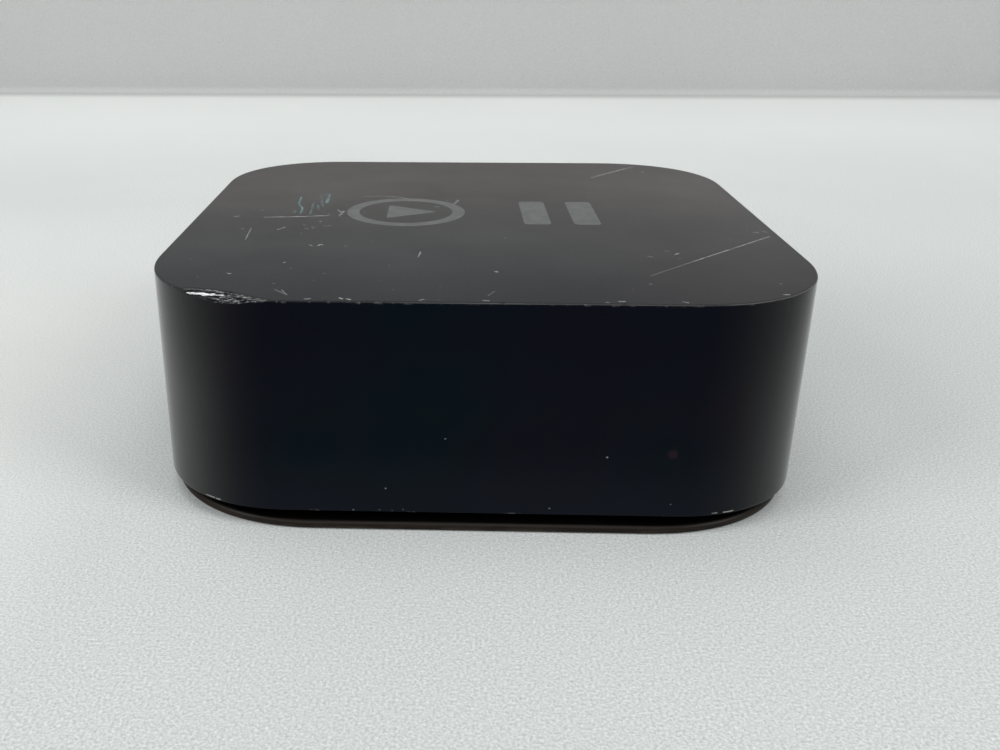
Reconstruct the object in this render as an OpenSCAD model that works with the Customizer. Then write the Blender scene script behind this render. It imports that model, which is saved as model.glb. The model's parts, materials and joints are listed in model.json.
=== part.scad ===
// Streaming media player: a square box with soft corners that stands on a recessed, vented foot.
// Millimetres, +Z up, front face towards -Y. The origin is the centre of the base, on the surface.

/* [Body] */
// Width and depth of the square case
body_w = 98; // [98:1:106]
// Overall height, from the surface to the top face
body_h = 35; // [35:0.5:38]
// Height of the case's lower edge above the surface
case_z = 3.1; // [3.0:0.05:3.2]
// Side wall of the case
wall = 2; // [1.8:0.1:2.2]
// Top wall of the case
top_wall = 2.2; // [2:0.1:2.4]
// How far each soft corner reaches along a side
corner = 22; // [20:1:24]
// Power of the corner's superellipse: 2 is a plain arc, more is squarer
corner_power = 2.2; // [2:0.1:2.6]

/* [Foot] */
// How far the foot plate's edge stands inside the case's side
foot_inset = 0.1; // [0.1:0.1:0.9]
// How far the foot plate's rounder corners reach along a side
foot_corner = 25.5; // [22:0.5:27]
// Thickness of the foot plate
foot_t = 1.2; // [1.1:0.05:1.3]
// How far the vented neck stands inside the case's side
neck_inset = 6; // [5:0.5:7]
// Vent slots along each side of the neck
slots_per_side = 14; // [8:1:16]

/* [Ports] */
// Height of the row of ports
port_z = 15.5; // [15.4:0.1:15.6]
// Mains inlet, to the left as seen from behind
inlet_x = 24; // [24:0.5:25]
// Audio and video socket
hdmi_x = 1; // [0:0.5:2]
// Network socket, to the right as seen from behind
ethernet_x = -23; // [-24:0.5:-23]

/* [Fan] */
// Outer radius of the fan housing
fan_r = 33; // [32:0.5:33.5]
// Blades on the impeller
blades = 23; // [15:1:29]
// Radius of the fan shaft
shaft_r = 1; // [0.8:0.1:1.2]
// Radial running clearance of the shaft in its bearing
shaft_gap = 0.03; // [0.02:0.01:0.06]

/* [Hidden] */
half = body_w / 2;
inner = half - wall;
inner_corner = corner - wall;
ceiling_z = body_h - top_wall;

foot_clear = 0.2;                     // the rubber ring alone touches the surface
foot_top = foot_clear + foot_t;
foot_step = 0.2;                      // shallow step round the plate's lower edge
ring_half = 36;
ring_corner = 18;
ring_w = 5;
ring_depth = 0.7;
tray_gap = 0.15;
tray_z = case_z + 0.2;
tray_t = 1.6;
tray_top = tray_z + tray_t;
hole_r = 1.1;
hole_pitch = 4;
exhaust_y = 31;
rim_top = 8.6;
rim_t = 1.3;
snap_z = 7.4;
hook = [6, 1, 0.9];                   // length, depth and height of a snap hook
snap_along = [-14, 14];
neck_half = half - neck_inset;
neck_t = 1.6;
slot_w = 1.3;
slot_pitch = 3.4;
peg_r = 1.4;
peg_at = [[30, 30], [-30, 30], [30, -30], [-30, -30]];
divider_y = 21;                       // parts the intake, in front, from the exhaust

fan_y = -10;
fan_at = [0, fan_y];
fan_z = 5.6;
fan_h = 8.2;
fan_top = fan_z + fan_h;
fan_floor = 1;
fan_lid_t = 0.5;
fan_wall = 1.5;
outlet_w = 34;
intake_r = 21;
motor_r = 9;
bearing_r = 2.2;
bearing_h = 4.8;
stator_z = 7.8;
stator_h = 2.6;
stator_r = 8.2;
pole_w = 1.4;
hub_r = 10.5;
hub_t = 0.8;
blade_z = 7.3;
blade_top = fan_top - fan_lid_t - 0.6;
blade_lean = 28;
ear_reach = 37;
ear_at = [for (a = [45:90:315]) [ear_reach * cos(a), fan_y + ear_reach * sin(a)]];
ear_r = 3.8;
ear_arm = 6.4;
ear_z = 9.2;
ear_t = 1.6;
grommet_r = 2.3;
grommet_lip = 0.6;
grommet_bottom = ear_z - grommet_lip;
grommet_top = ear_z + ear_t + grommet_lip;
fan_screw_r = 1.2;

spreader_z = 14.4;
spreader_t = 2;
spreader_top = spreader_z + spreader_t;
pad_t = 0.5;
board_z = 18.2;
board_t = 1.2;
board_top = board_z + board_t;
board_half = 43.5;
board_corner = 20;
port_notch_y = 27;
processor_at = [0, -6];
insulator_z = 22.1;
insulator_t = 0.3;
psu_z = 22.6;
psu_t = 1.4;
psu_top = psu_z + psu_t;
psu_size = [84, 65];
psu_y = -3.5;
transformer_at = [-5, 6];
window_h = 4.8;                       // opening of the transformer's core
window_z = psu_top + 1.8;
post_at = [[39, 22], [-39, 22], [38, -26], [-38, -26]];
post_r = 2.3;
stack_screw_r = 0.95;
boss_r = 3;
boss_bore_r = 1;
clearance_r = 1.2;
spreader_screw_at = [[27, -8], [-27, -8], [12, 20], [-12, 20]];
spreader_screw_r = 1;

hdmi_w = 15;
hdmi_h = 5.4;
hdmi_t = 0.35;
hdmi_len = 11.5;
hdmi_y = half - 0.5;                  // mouth of the shell
ethernet_w = 15.8;
ethernet_h = 12;
ethernet_len = 17.5;
ethernet_y = half - 0.5;
ethernet_t = 0.3;
plug_w = 11.8;
plug_h = 6.8;
plug_depth = 12.4;
plug_z = port_z - 2.6;                // floor of the plug's opening
latch_w = 6.2;
latch_h = 1.6;
inlet_w = 17;
inlet_h = 10.6;
inlet_len = 18.3;
inlet_y = half - 0.4;
inlet_depth = 12.5;
lobe_r = 4.1;
lobe_at = 3.15;
pin_pitch = 8.6;
pin_r = 1.2;
pin_root_r = 0.9;
pin_shoulder = 0.3;
pin_len = 9.8;

sensor_y = -44;
sensor_t = 1;
sensor_x = [14, 34];
sensor_z = [9, 18];
sensor_mid = (sensor_x[0] + sensor_x[1]) / 2;
light_x = 27;
light_z = 13.2;
ir_x = 20;
pipe_r = 1.1;
skin_t = 0.4;                         // case left in front of the status light

fit_gap = 0.1;
corner_steps = 14;
$fn = 48;

// ---------- shared shapes ----------

// A square of half-width h whose corners are quarter superellipses.
function soft_square(h, extent) = let (e = 2 / corner_power) [
    for (q = [0:3], i = [0:corner_steps])
        let (t = 90 * i / corner_steps,
             x = h - extent + extent * pow(cos(t), e),
             y = h - extent + extent * pow(sin(t), e))
        q == 0 ? [x, y] : q == 1 ? [-y, x] : q == 2 ? [-x, -y] : [y, -x]
];

module soft_plate(h, extent, z, t) {
    translate([0, 0, z]) linear_extrude(t) polygon(soft_square(h, extent));
}

module soft_ring(h, extent, w, z, t) {
    difference() {
        soft_plate(h, extent, z, t);
        soft_plate(h - w, extent - w, z - 1, t + 2);
    }
}

module block(at, size, z) {
    translate([at.x - size.x / 2, at.y - size.y / 2, z]) cube(size);
}

module rod(at, r, z, h) {
    translate([at.x, at.y, z]) cylinder(r = r, h = h);
}

module ring(at, r_out, r_in, z, h) {
    difference() {
        rod(at, r_out, z, h);
        rod(at, r_in, z - 1, h + 2);
    }
}

// A flat shape in the XZ plane, pushed from y0 towards +Y.
module along_y(x, y0, z, length) {
    translate([x, y0 + length, z]) rotate([90, 0, 0]) linear_extrude(length) children();
}

module stadium(w, h) {
    square([w - h, h], center = true);
    for (s = [-1, 1]) translate([s * (w - h) / 2, 0]) circle(r = h / 2);
}

// A screw with a cross in its head: the shank goes up from z, or down if up is false.
module screw(at, z, shank_r, length, head_r, head_t, up = true) {
    translate([at.x, at.y, z]) mirror([0, 0, up ? 0 : 1]) {
        cylinder(r = shank_r, h = length);
        difference() {
            translate([0, 0, -head_t]) cylinder(r = head_r, h = head_t);
            block([0, 0], [head_r * 1.2, 0.4, 0.6], -head_t - 0.1);
            block([0, 0], [0.4, head_r * 1.2, 0.6], -head_t - 0.1);
        }
    }
}

// A round wire through a list of points, as one closed skin.
function unit(v) = v / norm(v);
function wire_ring(p, d, r, n) = let (
        side = unit(cross(d, abs(d.z) > 0.9 ? [1, 0, 0] : [0, 0, 1])),
        up = cross(side, d))
    [for (k = [0:n - 1]) p + r * (cos(360 * k / n) * side + sin(360 * k / n) * up)];

module wire(points, r, n = 8) {
    last = len(points) - 1;
    rings = [for (i = [0:last])
        each wire_ring(points[i], unit(points[min(i + 1, last)] - points[max(i - 1, 0)]), r, n)];
    sides = [for (i = [0:last - 1], k = [0:n - 1])
        let (a = i * n + k, b = i * n + (k + 1) % n) each [[a, b, b + n], [a, b + n, a + n]]];
    start = [for (k = [n - 1:-1:0]) k];
    end = [for (k = [0:n - 1]) last * n + k];
    polyhedron(points = rings, faces = concat([start], sides, [end]));
}

// ---------- case and foot ----------

// Each of the eight snaps, seen as if on the front wall's inner face.
module snap_places() {
    for (a = [0:90:270], s = snap_along) rotate([0, 0, a]) translate([s, -inner, snap_z]) children();
}

module port_cutouts() {
    y0 = inner - 4;
    along_y(inlet_x, y0, port_z, wall + 5) stadium(inlet_w + 2 * fit_gap, inlet_h + 2 * fit_gap);
    along_y(hdmi_x, y0, port_z, wall + 5) hdmi_outline(fit_gap);
    along_y(ethernet_x, y0, port_z, wall + 5)
        square([ethernet_w + 2 * fit_gap, ethernet_h + 2 * fit_gap], center = true);
}

// Grooved ribs behind the front wall, which hold the sensor board by its ends.
module sensor_guides() {
    reach = sensor_y + sensor_t + inner + 1.4;
    difference() {
        for (x = sensor_x)
            block([x, reach / 2 - inner - 0.2],
                  [2, reach + 0.4, sensor_z[1] - sensor_z[0] - 0.1], sensor_z[0]);
        block([sensor_mid, sensor_y + sensor_t / 2],
              [sensor_x[1] - sensor_x[0] + 0.2, sensor_t + 0.1, sensor_z[1]], sensor_z[0] - 1);
    }
}

// Bosses that hang from the ceiling and clamp the power board, each with a rib to the wall.
module case_bosses() {
    for (p = post_at) difference() {
        union() {
            rod(p, boss_r, psu_top, ceiling_z - psu_top + 0.5);
            block([p.x + sign(p.x) * 5, p.y], [8, 1.2, 5], ceiling_z - 4.5);
        }
        rod(p, boss_bore_r, psu_top - 1, 7);
    }
}

module upper_case() {
    color([0.03, 0.03, 0.035]) {
        difference() {
            soft_plate(half, corner, case_z, body_h - case_z);
            soft_plate(inner, inner_corner, case_z - 1, ceiling_z - case_z + 1);
            port_cutouts();
            snap_places() translate([-hook.x / 2 - 0.4, -hook.y / 2 - 0.2, -0.7])
                cube([hook.x + 0.8, hook.y + 0.7, hook.z + 0.8]);
            along_y(light_x, -half + skin_t, light_z, wall) circle(r = pipe_r + fit_gap);
        }
        case_bosses();
        sensor_guides();
    }
}

module neck_slots() {
    for (a = [0:90:270], i = [0:slots_per_side - 1])
        rotate([0, 0, a])
            block([(i - (slots_per_side - 1) / 2) * slot_pitch, -neck_half],
                  [slot_w, 2 * neck_t + 2, case_z - foot_top - 0.1], foot_top + 0.1);
}

// Rings of holes below the fan, and a row of slots where the warm air leaves.
module tray_holes() {
    for (r = [hole_pitch:hole_pitch:intake_r - 1], i = [0:r * 1.5 - 1])
        rod([r * cos(i * 240 / r), fan_y + r * sin(i * 240 / r)], hole_r, tray_z - 1, tray_t + 2);
    for (x = [-18:3:18]) block([x, exhaust_y], [1.4, 12, tray_t + 2], tray_z - 1);
}

module snap_rim() {
    difference() {
        soft_ring(inner - tray_gap, inner_corner, rim_t, tray_z + 0.2, rim_top - tray_z - 0.2);
        for (a = [0:90:270], s = snap_along, e = [-4, 4])
            rotate([0, 0, a]) block([s + e, -inner], [0.8, 6, rim_top], tray_top);
    }
    snap_places() translate([-hook.x / 2, -hook.y / 2, -0.3]) cube(hook);
}

module base_cover() {
    color([0.05, 0.045, 0.045]) {
        difference() {
            soft_plate(inner - tray_gap, inner_corner, tray_z, tray_t);
            tray_holes();
            for (p = peg_at) rod(p, peg_r, tray_z - 1, 1.6);
        }
        difference() {
            soft_ring(neck_half, corner - neck_inset, neck_t, foot_top, tray_z - foot_top + 0.2);
            neck_slots();
        }
        for (p = peg_at) ring(p, 3, peg_r, foot_top, tray_z - foot_top);
        block([0, divider_y], [2 * (neck_half - neck_t) + 1, 1, tray_z - foot_top], foot_top);
        snap_rim();
        for (x = [sensor_x[0] + 3, sensor_x[1] - 3])
            block([x, sensor_y + sensor_t / 2], [2, 2, sensor_z[0] - tray_top + 0.2], tray_top - 0.2);
    }
}

module foot_plate() {
    color([0.06, 0.05, 0.045]) {
        difference() {
            union() {
                soft_plate(half - foot_inset - foot_step, foot_corner, foot_clear, foot_t);
                soft_plate(half - foot_inset, foot_corner, foot_clear + foot_step, foot_t - foot_step);
            }
            soft_ring(ring_half + fit_gap, ring_corner, ring_w + 2 * fit_gap,
                      foot_clear - 1, ring_depth + 1);
        }
        for (p = peg_at) rod(p, peg_r, foot_top - 0.2, 1.8);
    }
}

module foot_ring() {
    color([0.09, 0.09, 0.09]) soft_ring(ring_half, ring_corner, ring_w, 0, foot_clear + ring_depth);
}

// ---------- fan ----------

module fan_ears() {
    for (p = ear_at) difference() {
        union() {
            rod(p, ear_r, ear_z, ear_t);
            translate([p.x, p.y, ear_z]) rotate([0, 0, atan2(fan_y - p.y, -p.x)])
                translate([0, -ear_arm / 2, 0]) cube([ear_reach - fan_r + 0.8, ear_arm, ear_t]);
        }
        rod(p, grommet_r, ear_z - 1, ear_t + 2);
    }
}

// The floor is open below the blades, apart from the arms that carry the motor.
module fan_floor_plate() {
    difference() {
        rod(fan_at, fan_r, fan_z, fan_floor);
        difference() {
            ring(fan_at, intake_r, motor_r, fan_z - 1, fan_floor + 2);
            for (a = [0:60:120])
                translate([0, fan_y, fan_z]) rotate([0, 0, a]) cube([2 * fan_r, 2.2, 9], center = true);
        }
    }
}

module fan_housing() {
    color([0.08, 0.08, 0.085]) {
        fan_floor_plate();
        difference() {
            ring(fan_at, fan_r, fan_r - fan_wall, fan_z + fan_floor, fan_h - fan_floor - fan_lid_t);
            block([0, fan_y + fan_r], [outlet_w, 20, fan_h], fan_z + fan_floor);
        }
        ring(fan_at, bearing_r + 0.7, bearing_r, fan_z + fan_floor, bearing_h);
        fan_ears();
    }
}

module fan_lid() {
    color([0.62, 0.63, 0.64]) {
        rod(fan_at, fan_r, fan_top - fan_lid_t, fan_lid_t);
        block([0, fan_y + fan_r - 1], [outlet_w, 4, fan_lid_t], fan_top - fan_lid_t);
    }
}

module fan_bearing() {
    color([0.72, 0.55, 0.25])
        ring(fan_at, bearing_r, shaft_r + shaft_gap, fan_z + fan_floor, bearing_h);
}

module fan_stator_core() {
    color([0.55, 0.55, 0.57]) {
        ring(fan_at, 4, bearing_r + 0.75, stator_z, stator_h);
        for (a = [0:60:300]) translate([0, fan_y, 0]) rotate([0, 0, a]) {
            translate([3.6, -pole_w / 2, stator_z]) cube([3.8, pole_w, stator_h]);
            intersection() {
                ring([0, 0], stator_r, stator_r - 1, stator_z, stator_h);
                translate([6, -2.6, stator_z - 1]) cube([4, 5.2, 5]);
            }
        }
    }
}

module fan_coils() {
    length = 2.6;
    color([0.72, 0.36, 0.15]) for (a = [0:60:300])
        translate([0, fan_y, stator_z + stator_h / 2]) rotate([0, 0, a])
            translate([4.4 + length / 2, 0, 0]) difference() {
                cube([length, pole_w + 1.1, stator_h + 1.1], center = true);
                cube([length + 1, pole_w + 0.1, stator_h + 0.1], center = true);
            }
}

module fan_shaft() {
    color([0.75, 0.75, 0.77])
        rod(fan_at, shaft_r, fan_z + fan_floor + 0.2, blade_top - fan_z - fan_floor - 0.2);
}

module fan_impeller() {
    blade_h = blade_top - blade_z;
    color([0.12, 0.12, 0.13]) difference() {
        union() {
            ring(fan_at, hub_r, hub_r - hub_t, blade_z, blade_h);
            rod(fan_at, hub_r, blade_top - 0.9, 0.9);
            ring(fan_at, 22, hub_r - 0.2, blade_top - 0.5, 0.5);
            ring(fan_at, 28, 27, blade_z + 1, 0.8);
            for (i = [0:blades - 1]) translate([0, fan_y, blade_z]) rotate([0, 0, i * 360 / blades])
                translate([hub_r - 0.3, 0, 0]) rotate([0, 0, blade_lean]) cube([19.5, 0.7, blade_h]);
        }
        rod(fan_at, shaft_r, blade_z, 20);
    }
}

module fan_magnet() {
    color([0.2, 0.2, 0.21])
        ring(fan_at, hub_r - hub_t, hub_r - hub_t - 0.95, blade_z + 0.2, blade_top - blade_z - 1.1);
}

module fan_grommets() {
    color([0.15, 0.15, 0.15]) for (p = ear_at) difference() {
        union() {
            rod(p, grommet_r, grommet_bottom, grommet_top - grommet_bottom);
            rod(p, grommet_r + 0.9, grommet_bottom, grommet_lip);
            rod(p, grommet_r + 0.9, ear_z + ear_t, grommet_lip);
        }
        rod(p, fan_screw_r, grommet_bottom - 1, 6);
    }
}

module fan_screws() {
    color([0.7, 0.7, 0.72]) for (p = ear_at)
        screw(p, grommet_bottom, fan_screw_r, spreader_top - grommet_bottom - 0.5, 2.6, 1.1);
}

// From the fan's side up to its socket under the logic board.
module fan_cable() {
    x = -fan_r - 0.2;
    color([0.1, 0.1, 0.1])
        wire([[x, fan_y, 9.5], [x - 1.6, fan_y, 9.7], [x - 3.6, fan_y, 11], [x - 4.8, fan_y, 13],
              [x - 4.8, fan_y, 15.9]], 0.9);
}

// ---------- heat spreader ----------

module heat_spreader() {
    color([0.66, 0.67, 0.68]) difference() {
        union() {
            block([0, -9], [64, 62, spreader_t], spreader_z);
            block([0, 27], [29.6, 15, spreader_t], spreader_z);
            for (p = ear_at) rod(p, 2.8, grommet_top, spreader_z - grommet_top + 0.1);
            for (p = spreader_screw_at) rod(p, 2.2, spreader_top - 0.1, board_z - spreader_top + 0.1);
            for (x = [-14:2:14]) block([x, 29], [0.8, 9, 7.2], spreader_z - 7.1);
        }
        for (p = ear_at) rod(p, fan_screw_r, grommet_top - 1, 20);
        for (p = spreader_screw_at) rod(p, spreader_screw_r, spreader_z + 0.5, 10);
    }
}

module thermal_pad() {
    color([0.55, 0.6, 0.68]) block(processor_at, [17, 17, pad_t], spreader_top);
}

module spreader_screws() {
    color([0.7, 0.7, 0.72]) for (p = spreader_screw_at)
        screw(p, board_top, spreader_screw_r, board_top - spreader_z - 0.5, 1.9, 0.9, up = false);
}

// ---------- logic board ----------

module port_notches(z, t) {
    reach = half - port_notch_y;
    block([inlet_x, half], [inlet_w + 1, 2 * reach, t], z);
    block([ethernet_x, half], [ethernet_w + 0.6, 2 * ethernet_len + 2, t], z);
}

module logic_board() {
    color([0.03, 0.16, 0.09]) difference() {
        soft_plate(board_half, board_corner, board_z, board_t);
        port_notches(board_z - 1, board_t + 2);
        for (p = post_at) rod(p, clearance_r, board_z - 1, board_t + 2);
        for (p = spreader_screw_at) rod(p, clearance_r, board_z - 1, board_t + 2);
    }
}

module main_processor() {
    color([0.75, 0.76, 0.77]) {
        block(processor_at, [15, 15, 0.7], board_z - 0.7);
        block(processor_at, [12, 12, 0.6], spreader_top + pad_t);
    }
}

module memory_chips() {
    color([0.08, 0.08, 0.08]) for (x = [13.5, 22], y = [-19, 5]) block([x, y], [7, 11, 1], board_top);
}

module controller_chips() {
    color([0.07, 0.07, 0.075]) {
        block([-25, 22], [9, 9, 0.9], board_top);
        block([2, 27], [6, 6, 0.9], board_top);
        block([20, 17], [5, 5, 0.9], board_top);
        block([-30, -32], [6, 4, 1.2], board_top);
    }
}

module board_inductors() {
    color([0.3, 0.3, 0.31])
        for (i = [0:4]) block([-14 + 6.5 * i, -35], [4.6, 4.6, 2], board_top);
}

module board_capacitors() {
    color([0.62, 0.5, 0.34]) {
        for (i = [0:11]) block([-18 + 3.2 * i, -30.5], [1.2, 1.9, 1.1], board_top);
        for (i = [0:6]) block([31, -8 + 3 * i], [1.9, 1.2, 1.1], board_top);
        for (i = [0:5]) block([-12 + 3 * i, 13], [1.2, 1.9, 1.1], board_top);
    }
}

module wireless_module() {
    color([0.5, 0.5, 0.52]) {
        block([-33, 4], [12, 15, 0.8], board_top);
        block([-33, 5], [10.6, 12, 1.2], board_top + 0.8);
    }
}

// A folded can, open below, over the middle of the board.
module board_shield() {
    color([0.72, 0.72, 0.73]) difference() {
        block([-8, -6], [26, 30, 2], board_top);
        block([-8, -6], [25.4, 29.4, 2.7], board_top - 1);
    }
}

module board_connectors() {
    color([0.85, 0.82, 0.74]) {
        block([-fan_r - 5, fan_y], [5, 6, 2.2], board_z - 2.2);
        block([sensor_mid, -41.4], [8, 2.4, 1.7], board_z - 1.7);
        block([39, 4], [4, 12, 2.4], board_top);
        for (y = [-11, -16]) rod([-36, y], 1.1, board_top, 1.2);
    }
}

// ---------- sockets ----------

// The video plug's outline: a wide slot whose lower corners are cut off.
module hdmi_outline(grow) {
    a = hdmi_w / 2 + grow;
    b = hdmi_h / 2 + grow;
    cut = 2.3;
    polygon([[-a, b], [-a, -b + cut], [-a + cut, -b], [a - cut, -b], [a, -b + cut], [a, b]]);
}

module hdmi_shell() {
    y0 = hdmi_y - hdmi_len;
    color([0.7, 0.7, 0.71]) difference() {
        along_y(hdmi_x, y0, port_z, hdmi_len) hdmi_outline(0);
        along_y(hdmi_x, y0 + hdmi_t, port_z, hdmi_len) hdmi_outline(-hdmi_t);
    }
}

module hdmi_tongue() {
    color([0.07, 0.07, 0.07]) {
        along_y(hdmi_x, hdmi_y - hdmi_len + hdmi_t, port_z, 1.5) hdmi_outline(-hdmi_t);
        block([hdmi_x, hdmi_y - 5.5], [11, 9, 1.2], port_z - 0.1);
    }
}

module hdmi_contacts() {
    color([0.85, 0.68, 0.3]) {
        for (i = [0:9]) block([hdmi_x - 4.5 + i, hdmi_y - 5], [0.35, 7, 0.12], port_z + 1.1);
        for (i = [0:8]) block([hdmi_x - 4 + i, hdmi_y - 5], [0.35, 7, 0.12], port_z - 0.22);
    }
}

module ethernet_shell() {
    y0 = ethernet_y - ethernet_len;
    color([0.72, 0.72, 0.73]) difference() {
        along_y(ethernet_x, y0, port_z, ethernet_len) square([ethernet_w, ethernet_h], center = true);
        along_y(ethernet_x, y0 + ethernet_t, port_z, ethernet_len)
            square([ethernet_w - 2 * ethernet_t, ethernet_h - 2 * ethernet_t], center = true);
    }
}

module ethernet_insert() {
    y0 = ethernet_y - ethernet_len + ethernet_t;
    length = ethernet_len - ethernet_t;
    color([0.06, 0.06, 0.06]) difference() {
        along_y(ethernet_x, y0, port_z, length)
            square([ethernet_w - 2 * ethernet_t, ethernet_h - 2 * ethernet_t], center = true);
        block([ethernet_x, ethernet_y - plug_depth / 2 + 1], [plug_w, plug_depth + 2, plug_h], plug_z);
        block([ethernet_x, ethernet_y - plug_depth / 2 + 1],
              [latch_w, plug_depth + 2, latch_h + 1], plug_z - latch_h);
        block([ethernet_x, ethernet_y - 4], [2.6, 10, 2], plug_z - latch_h - 0.9);
    }
}

module ethernet_contacts() {
    top = plug_z + plug_h;
    color([0.85, 0.68, 0.3]) for (i = [0:7]) translate([ethernet_x + 1.02 * (i - 3.5), 0, 0])
        rotate([90, 0, 90]) linear_extrude(0.35, center = true)
            polygon([[ethernet_y - 3, top], [ethernet_y - 3, top - 0.4],
                     [ethernet_y - plug_depth + 2, top - 2], [ethernet_y - plug_depth + 2, top - 1.6],
                     [ethernet_y - 4.5, top]]);
}

// The mouth is cut off just inside the case's own curve.
module inlet_housing() {
    y0 = inlet_y - inlet_len;
    color([0.05, 0.05, 0.055]) difference() {
        intersection() {
            along_y(inlet_x, y0, port_z, inlet_len) stadium(inlet_w, inlet_h);
            soft_plate(inlet_y, corner, port_z - inlet_h, 2 * inlet_h);
        }
        for (s = [-1, 1]) {
            along_y(inlet_x + s * lobe_at, inlet_y - inlet_depth, port_z, inlet_depth + 1)
                circle(r = lobe_r);
            along_y(inlet_x + s * pin_pitch / 2, y0 - 1, port_z, inlet_len) circle(r = pin_root_r);
        }
    }
}

// Round pins on thinner roots, with flat tails that rise to the power board.
module inlet_pins() {
    y0 = inlet_y - inlet_len;
    shoulder_y = inlet_y - inlet_depth + pin_shoulder;
    color([0.76, 0.76, 0.77]) for (s = [-1, 1]) {
        along_y(inlet_x + s * pin_pitch / 2, shoulder_y, port_z, pin_len) circle(r = pin_r);
        along_y(inlet_x + s * pin_pitch / 2, y0 - 0.8, port_z, shoulder_y - y0 + 0.9)
            circle(r = pin_root_r);
        block([inlet_x + s * pin_pitch / 2, y0 - 1.2], [2.4, 0.8, psu_z - port_z], port_z);
    }
}

// ---------- power board ----------

module power_posts() {
    color([0.78, 0.64, 0.36]) for (p = post_at)
        ring(p, post_r, stack_screw_r, board_top, psu_z - board_top);
}

module stack_screws() {
    color([0.7, 0.7, 0.72]) for (p = post_at) screw(p, board_z, stack_screw_r, 11, 1.9, 1.2);
}

module psu_board() {
    color([0.5, 0.4, 0.2]) difference() {
        block([0, psu_y], [psu_size.x, psu_size.y, psu_t], psu_z);
        for (p = post_at) rod(p, clearance_r, psu_z - 1, psu_t + 2);
    }
}

module psu_insulator() {
    color([0.85, 0.85, 0.8]) block([0, -5], [68, 58, insulator_t], insulator_z);
}

module transformer_core() {
    color([0.25, 0.25, 0.26]) difference() {
        block(transformer_at, [26, 12, 8.4], psu_top);
        for (s = [-1, 1])
            block([transformer_at.x + s * 7.6, transformer_at.y], [6, 14, window_h], window_z);
    }
}

module transformer_winding() {
    color([0.85, 0.75, 0.3]) difference() {
        block(transformer_at, [20.6, 22, window_h - 0.2], window_z + 0.1);
        block(transformer_at, [9.6, 12.4, window_h + 2], window_z - 1);
    }
}

module bulk_capacitors() {
    color([0.1, 0.1, 0.14]) for (y = [-18.5, -28.5])
        translate([8, y, psu_top + 4.25]) rotate([0, 90, 0]) {
            cylinder(r = 4.25, h = 1.6);
            cylinder(r = 3.9, h = 3);
            translate([0, 0, 2.4]) cylinder(r = 4.25, h = 19.6);
        }
}

module line_choke() {
    at = [24, 4];
    color([0.7, 0.4, 0.18]) {
        ring(at, 7, 4, psu_top + 0.9, 6.2);
        for (a = [30:24:330]) translate([at.x, at.y, psu_top]) rotate([0, 0, a])
            translate([3.3, -0.5, 0]) cube([4.5, 1, 8]);
    }
}

module line_fuse() {
    color([0.85, 0.85, 0.82]) translate([38, -8, psu_top + 2.6]) rotate([-90, 0, 0]) {
        cylinder(r = 2.6, h = 4.5);
        translate([0, 0, 4.5]) cylinder(r = 2.3, h = 11);
        translate([0, 0, 15.5]) cylinder(r = 2.6, h = 4.5);
    }
}

module line_capacitors() {
    color([0.75, 0.72, 0.2]) {
        block([25, 20], [14, 7, 8.2], psu_top);
        block([14, 24], [5, 4, 7], psu_top);
    }
}

module bridge_rectifier() {
    color([0.09, 0.09, 0.09]) block([24, -9.5], [15, 4, 8.2], psu_top);
}

module switching_transistor() {
    color([0.12, 0.12, 0.12]) {
        block([-2, -13], [10, 4.4, 7], psu_top);
        block([-2, -10.2], [10, 1.2, 8.4], psu_top);
    }
}

module output_inductor() {
    color([0.28, 0.28, 0.29]) {
        at = [-27, -13];
        rod(at, 6.5, psu_top, 1.6);
        rod(at, 5.2, psu_top + 1.6, 4.8);
        rod(at, 6.5, psu_top + 6.4, 1.6);
    }
}

module output_capacitors() {
    color([0.12, 0.14, 0.3]) for (p = [[-30, 2], [-30, 13], [-20, 23], [-14, -28], [-24, -28]]) {
        rod(p, 4, psu_top, 1.4);
        rod(p, 3.7, psu_top + 1, 1.4);
        rod(p, 4, psu_top + 2, 6.2);
    }
}

// ---------- front sensor ----------

module sensor_board() {
    color([0.03, 0.16, 0.09])
        block([sensor_mid, sensor_y + sensor_t / 2],
              [sensor_x[1] - sensor_x[0], sensor_t, sensor_z[1] - sensor_z[0]], sensor_z[0]);
}

module infrared_receiver() {
    color([0.1, 0.05, 0.07]) {
        block([ir_x, sensor_y - 0.9], [6, 1.8, 7], sensor_z[0] + 0.8);
        along_y(ir_x, sensor_y - 2.6, light_z + 0.4, 1) circle(r = 2);
    }
}

module status_led() {
    color([0.9, 0.9, 0.85]) block([light_x, sensor_y - 0.4], [1.6, 0.8, 1.6], light_z - 0.8);
}

module light_pipe() {
    length = half - skin_t + sensor_y - 0.8;
    color([0.85, 0.88, 0.9]) along_y(light_x, -half + skin_t, light_z, length) circle(r = pipe_r);
}

module sensor_flex() {
    y = sensor_y + sensor_t;
    color([0.75, 0.5, 0.2]) {
        block([sensor_mid, y + 0.1], [7, 0.2, 4], 12.4);
        block([sensor_mid, y + 1.2], [7, 2.4, 0.2], 16.3);
        block([sensor_mid, y + 0.1], [7, 0.2, 1], 15.5);
    }
}

// ---------- aerials ----------

// A printed strip on a carrier that stands against the case's side wall.
module antenna(side) {
    x = side * (inner - 1.1);
    color([0.8, 0.66, 0.3]) {
        block([x, -4], [1.6, 26, 5], 25);
        block([x - side * 0.9, -4], [0.3, 22, 3.4], 25.8);
    }
}

module left_antenna() { antenna(-1); }

module right_antenna() { antenna(1); }

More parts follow.
